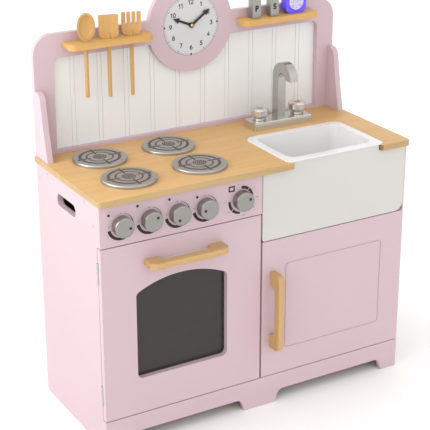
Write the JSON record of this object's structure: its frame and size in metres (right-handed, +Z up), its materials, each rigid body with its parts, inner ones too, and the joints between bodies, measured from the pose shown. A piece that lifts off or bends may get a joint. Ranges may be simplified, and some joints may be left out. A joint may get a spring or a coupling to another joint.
{
  "type": "toy kitchen",
  "caption": "Free-standing toy kitchen: oven and cupboard with hinged doors, hob rings, turning knobs, lift-out sink with taps, backsplash with clock, shelves, utensils, shakers and timer.",
  "frame": {"origin": "bottom centre of the bounding box, on the floor", "axes": "+X to the right seen from the front, -Y towards the person in front, +Z up"},
  "size_m": [0.712, 0.33, 0.855],
  "materials": {
    "pink_paint": "satin pale pink paint on board",
    "white_paint": "satin white paint on board",
    "cream_paint": "satin cream paint on thin board",
    "worktop_board": "satin wood-grain worktop",
    "raw_board": "bare fibreboard",
    "clear_wood": "clear-varnished solid wood",
    "silver_paint": "silver paint on wood",
    "dowel_wood": "bare wood",
    "sink_plastic": "glossy off-white",
    "dark_pane": "smoked clear sheet",
    "steel": "zinc plated",
    "catch_plastic": "matt white",
    "black_paint": "satin black",
    "brass": "polished",
    "violet_paint": "gloss blue-violet paint on wood",
    "dial_card": "matt white"
  },
  "bodies": {
    "carcass": {"side_left": "pink_paint", "side_right": "pink_paint", "divider": "raw_board", "base_panel": "raw_board", "plinth": "pink_paint", "control_panel": "pink_paint", "sink_apron": "white_paint", "apron_rail": "pink_paint", "back_panel": "raw_board", "back_rail": "raw_board", "cleats": "raw_board", "oven_shelf": "raw_board", "worktop": "worktop_board", "worktop_edging": "worktop_board", "hob_rings": "silver_paint", "tap_base": "silver_paint", "tap_spout": "silver_paint", "tap_pins": "dowel_wood", "splash_frame": "pink_paint", "splash_panel": "cream_paint", "wing_left": "pink_paint", "wing_right": "pink_paint", "shelf_left": "clear_wood", "shelf_right": "clear_wood", "clock_face": "silver_paint", "clock_pin": "brass", "knob_pins": "dowel_wood", "structure_screws": "steel", "hinge_leaves_frame": "steel", "hinge_pins": "steel", "door_catches": "catch_plastic"},
    "oven_door": {"oven_door": "pink_paint", "oven_window": "dark_pane", "oven_handle": "clear_wood", "oven_hinge_leaves": "steel", "oven_door_screws": "steel", "oven_strike": "steel"},
    "cupboard_door": {"cupboard_door": "pink_paint", "cupboard_handle": "clear_wood", "cupboard_hinge_leaves": "steel", "cupboard_door_screws": "steel", "cupboard_strike": "steel"},
    "knob_1": {"knob_1": "silver_paint"},
    "knob_2": {"knob_2": "silver_paint"},
    "knob_3": {"knob_3": "silver_paint"},
    "knob_4": {"knob_4": "silver_paint"},
    "knob_5": {"knob_5": "silver_paint"},
    "tap_cold": {"tap_cold": "silver_paint"},
    "tap_hot": {"tap_hot": "silver_paint"},
    "hour_hand": {"hour_hand": "black_paint"},
    "minute_hand": {"minute_hand": "black_paint"},
    "sink_tub": {"sink_tub": "sink_plastic"},
    "spoon": {"spoon": "clear_wood"},
    "spatula": {"spatula": "clear_wood"},
    "fork": {"fork": "clear_wood"},
    "shaker_left": {"shaker_left": "silver_paint"},
    "shaker_right": {"shaker_right": "silver_paint"},
    "timer": {"timer_body": "violet_paint", "timer_dial": "dial_card"}
  },
  "joints": [
    {"name": "oven_door_hinge", "type": "hinge", "parent": "carcass", "child": "oven_door", "pos_m": [-0.353, -0.11625, 0.2495], "axis": [0, 0, -1], "range_deg": [0, 170]},
    {"name": "cupboard_door_hinge", "type": "hinge", "parent": "carcass", "child": "cupboard_door", "pos_m": [0.353, -0.11625, 0.219], "axis": [0, 0, 1], "range_deg": [0, 170]},
    {"name": "knob_1_turn", "type": "hinge", "parent": "carcass", "child": "knob_1", "pos_m": [-0.3088, -0.139, 0.4747], "axis": [0, 1, 0], "range_deg": [-101, 169]},
    {"name": "knob_2_turn", "type": "hinge", "parent": "carcass", "child": "knob_2", "pos_m": [-0.24875, -0.139, 0.4747], "axis": [0, 1, 0], "range_deg": [-47, 223]},
    {"name": "knob_3_turn", "type": "hinge", "parent": "carcass", "child": "knob_3", "pos_m": [-0.18871, -0.139, 0.4747], "axis": [0, 1, 0], "range_deg": [-220, 50]},
    {"name": "knob_4_turn", "type": "hinge", "parent": "carcass", "child": "knob_4", "pos_m": [-0.12866, -0.139, 0.4747], "axis": [0, 1, 0], "range_deg": [-268, 2]},
    {"name": "knob_5_turn", "type": "hinge", "parent": "carcass", "child": "knob_5", "pos_m": [-0.0488, -0.139, 0.4747], "axis": [0, 1, 0], "range_deg": [-65, 205]},
    {"name": "tap_cold_turn", "type": "hinge", "parent": "carcass", "child": "tap_cold", "pos_m": [0.128, 0.0885, 0.561], "axis": [0, 0, 1], "continuous": true},
    {"name": "tap_hot_turn", "type": "hinge", "parent": "carcass", "child": "tap_hot", "pos_m": [0.222, 0.0885, 0.561], "axis": [0, 0, 1], "continuous": true},
    {"name": "hour_hand_turn", "type": "hinge", "parent": "carcass", "child": "hour_hand", "pos_m": [-0.0038, 0.1462, 0.757], "axis": [0, 1, 0], "continuous": true},
    {"name": "minute_hand_turn", "type": "hinge", "parent": "carcass", "child": "minute_hand", "pos_m": [-0.0038, 0.1438, 0.757], "axis": [0, 1, 0], "continuous": true},
    {"name": "sink_tub_lift", "type": "slide", "parent": "carcass", "child": "sink_tub", "axis": [0, 0, 1], "range_m": [0, 0.08]},
    {"name": "spoon_lift", "type": "slide", "parent": "carcass", "child": "spoon", "axis": [0, 0, 1], "range_m": [0, 0.12]},
    {"name": "spatula_lift", "type": "slide", "parent": "carcass", "child": "spatula", "axis": [0, 0, 1], "range_m": [0, 0.125]},
    {"name": "fork_lift", "type": "slide", "parent": "carcass", "child": "fork", "axis": [0, 0, 1], "range_m": [0, 0.13]},
    {"name": "shaker_left_lift", "type": "slide", "parent": "carcass", "child": "shaker_left", "axis": [0, 0, 1], "range_m": [0, 0.08]},
    {"name": "shaker_right_lift", "type": "slide", "parent": "carcass", "child": "shaker_right", "axis": [0, 0, 1], "range_m": [0, 0.08]},
    {"name": "timer_lift", "type": "slide", "parent": "carcass", "child": "timer", "axis": [0, 0, 1], "range_m": [0, 0.08]}
  ]
}
